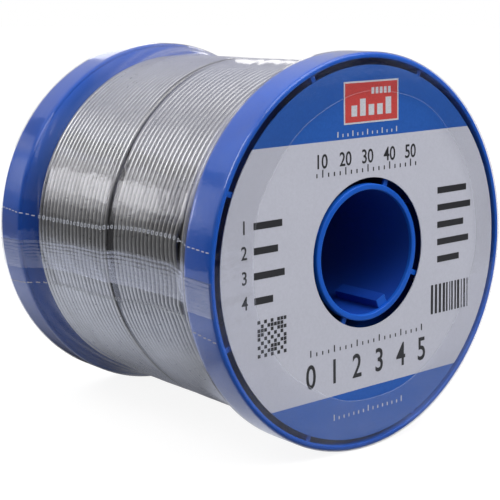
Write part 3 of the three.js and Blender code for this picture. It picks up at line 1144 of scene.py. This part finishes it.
WHITE = (1.0, 1.0, 1.0)
WARM_WHITE = (1.0, 0.97, 0.91)
FLOOR_TONES = (0.16,) * 3, (0.04,) * 3  # of what it shows directly, and, darker as painted shade, in the object's gloss
FLOOR_GLOW = 0.90
REFLECTED_FLOOR = (0.88, 0.91, 1.0)
REFLECTED_ROOM = (0.965, 0.965, 1.09)

SKY = 0.84  # what lights the object from most sides
DIM_SIDE = 0.45  # and from the left in front
LEFTWARD = (-0.66, -0.75, 0.0)
BACKDROP = 0.52  # what its gloss shows: the wall behind it
CEILING = 0.49
SIDES = 0.20
FRONT = 0.10

# Parts of a room that only reflections show: name, corners in mm and strength.
ROOM_CARDS = (
    ("far_wall", [(-132, 101, -29.6), (-20, 165, -29.6), (-20, 165, 19.5), (-132, 101, 19.5)], 0.20),
    ("window_head", [(-94, 189, 74), (-131, 155, 88), (-138, 155, 70), (-104, 189, 56)], 0.85),
    ("small_window", [(-104, 189, 56), (-121, 172, 63), (-137, 170, 28.5), (-117.5, 185, 25)], 2.3),
    ("other_window", [(-121, 172, 63), (-138, 155, 70), (-157, 155, 32), (-137, 170, 28.5)], 3.4),
    ("window_sill", [(-76, 127, 19.5), (-114, 105, 21.5), (-114, 105, 12.5), (-76, 127, 11)], 1.5),
    ("under_sill", [(-76, 127, 11), (-114, 105, 12.5), (-114, 105, -1), (-76, 127, -1)], 0.5),
    ("high_shade", [(-60, 160, 68), (-120, 92, 70), (-120, 92, 88), (-60, 160, 90)], 0.14),
    ("back_window", [(22, 80, 34), (41, 80, 34), (31, 80, 50), (10, 80, 57), (8, 80, 50)], 1.8),
    ("glint_window", [(44, 60, 41), (64, 60, 41), (60, 60, 52), (42, 60, 52)], 1.6),
)

SQUARE = (-1, -1), (1, -1), (1, 1), (-1, 1)


def stage_card(name, points, level, colour=WHITE, faces=None):
    """A glowing card that only shows in reflections, of one face as a rule."""
    n = Surface(name)
    glow = n.add("ShaderNodeEmission", {"Color": colour, "Strength": level})
    n.give(glow.outputs[0], n.tree.nodes["Material Output"].inputs["Surface"])
    made = mesh_object(name, points, [range(len(points))] if faces is None else faces, n.material)
    for ray in ("camera", "diffuse", "shadow", "transmission"):
        setattr(made, "visible_" + ray, False)


def towards_object(place):
    return (-Vector(place)).to_track_quat("-Z", "Y")


def facing_card(name, place, size, level):
    turned = [towards_object(place) @ Vector((x, y, 0)) * size / 2 for x, y in SQUARE]
    stage_card(name, [tuple(Vector(place) + corner) for corner in turned], level)


def band_card(name, radius, low, high, level):
    """A cylindrical card round the object between two angles of elevation."""
    turn = np.arange(96) * TURN / 96
    circle = radius * np.cos(turn), radius * np.sin(turn)
    rings = [np.stack([*circle, 0 * turn + radius * math.tan(math.radians(e))], -1) for e in (low, high)]
    stage_card(name, np.concatenate(rings), level, faces=grid_faces(2, len(turn)))


def floor_material():
    """White to the camera with a faint shadow. What the object reflects is darker close to it, as a
    painted shadow, with painted pools of light beside it and near the labelled flange.
    """
    n = Surface("pale_floor")
    place, x, y, z = n.position()
    seen, glossy = n.rays()
    # Painted shadow and painted pools of light, which only the object's gloss sees.
    under = n.ranged(x, -36, -12)
    beside = n.math("SUBTRACT", n.ranged(x, -60, -45, 0.64, 0.80), n.times(under, 0.62))
    beside = n.times(beside, n.ranged(y, -12, 7, 0.16, 1))
    behind = n.times(under, n.ranged(y, 26, 40), 0.24)
    light_pool_by_front_rim = n.times(
        n.ranged(y, -34, -24), n.ranged(y, -8, 2, 1, 0), n.ranged(x, -40, -31, 0, 0.58)
    )
    light_pool_by_label = n.times(n.ranged(y, -34, -30, 0.6, 0), n.ranged(x, -12, -2))
    level = n.math("MAXIMUM", n.math("SUBTRACT", beside, behind), light_pool_by_front_rim, light_pool_by_label)
    level = n.times(level, n.varied(n.noise(place, 0.06, 2), 0.85, 1.15), glossy)
    n.set(
        Base_Color=n.mixed(glossy, *FLOOR_TONES),
        Roughness=0.9,
        Specular_IOR_Level=0.0,
        Emission_Color=n.mixed(glossy, WHITE, REFLECTED_FLOOR),
        Emission_Strength=n.math("MAXIMUM", n.times(seen, FLOOR_GLOW), level),
    )
    return n.material


def make_floor():
    points = [(x * FLOOR_REACH, y * FLOOR_REACH, FLOOR_Z) for x, y in SQUARE]
    made = mesh_object("floor", points, [range(4)], floor_material())


def make_world():
    """Soft light, a white background, and a room that only reflections show."""
    world = bpy.data.worlds.new("studio")
    bpy.context.scene.world = world
    world.use_nodes = True
    n = Nodes(world.node_tree)
    n.tree.nodes.clear()
    seen, glossy = n.rays()
    direction = n.add("ShaderNodeTexCoord").outputs["Generated"]
    x, y, z = n.split(direction)
    room = SIDES
    for value, start, end, level in (
        (y, -0.15, -0.45, FRONT),
        (z, 0.25, 0.60, CEILING),
        (y, 0.50, 0.76, BACKDROP),
    ):
        room = n.mixed(n.ranged(value, start, end, easing="SMOOTHSTEP"), room, level, "FLOAT")
    leftward = n.add("ShaderNodeVectorMath", {0: direction}, operation="DOT_PRODUCT")
    leftward.inputs[1].default_value = LEFTWARD
    dim = n.ranged(leftward.outputs["Value"], 0.15, 0.75, easing="SMOOTHSTEP")
    level = n.mixed(glossy, n.mixed(dim, SKY, DIM_SIDE, "FLOAT"), room, "FLOAT")
    background = n.add("ShaderNodeBackground", {
        "Color": n.mixed(glossy, WHITE, REFLECTED_ROOM),
        "Strength": n.mixed(seen, level, 1.0, "FLOAT"),
    })
    n.give(background.outputs[0], n.add("ShaderNodeOutputWorld").inputs["Surface"])


def area_light(name, place, size, watts):
    """A square lamp, in metres, which lights the object but doesn't show in its gloss."""
    lamp = bpy.data.lights.new(name, "AREA")
    lamp.size = size
    lamp.energy = watts
    made = linked(name, lamp)
    made.location = place
    made.rotation_euler = towards_object(place).to_euler()
    made.visible_glossy = False


def make_camera():
    data = bpy.data.cameras.new("camera")
    data.lens = CAMERA_LENS
    data.shift_x, data.shift_y = CAMERA_SHIFT
    data.clip_start = 0.005
    made = linked("camera", data)
    made.location = Vector(CAMERA_PLACE) * MM
    made.rotation_euler = CAMERA_TURN
    bpy.context.scene.camera = made


make_camera()
make_floor()
make_world()
area_light("key", (0.10, -0.24, 0.38), 0.42, 2.15)
area_light("left_lamp", (-0.23, 0.33, 0.37), 0.22, 1.2)
facing_card("key_window", (100, -240, 380), 420, 1.9)
facing_card("left_window", (-360, -100, 360), 250, 3.4)
band_card("dark_band", 170, -9.9, 6.5, 0.06)
for name, corners, level in ROOM_CARDS:
    stage_card(name, corners, level, WARM_WHITE)
bpy.context.scene.view_settings.view_transform = "Standard"


# ---- what each piece rides on and stands for ----

for piece, slot, nodes in (
    (front_flange, "blue_plastic", ["front_flange_half"]),
    (rear_flange, "blue_plastic", ["rear_flange_half"]),
    (label, "label_paper", ["front_label"]),
    *((part, "label_paper", []) for part in prints),
    (outer_wire, "solder_wire", ["wire_outer_layer"]),
    (lower_wire, "solder_wire", ["wire_inner_layers"]),
    (winding_core, "solder_wire", []),
    (sleeve, "clear_film", ["shrink_film_sleeve"]),
    *((part, "clear_film", []) for part in (seam, holes, edges)),
):
    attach(piece, "root")
    if nodes:
        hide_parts(*nodes)
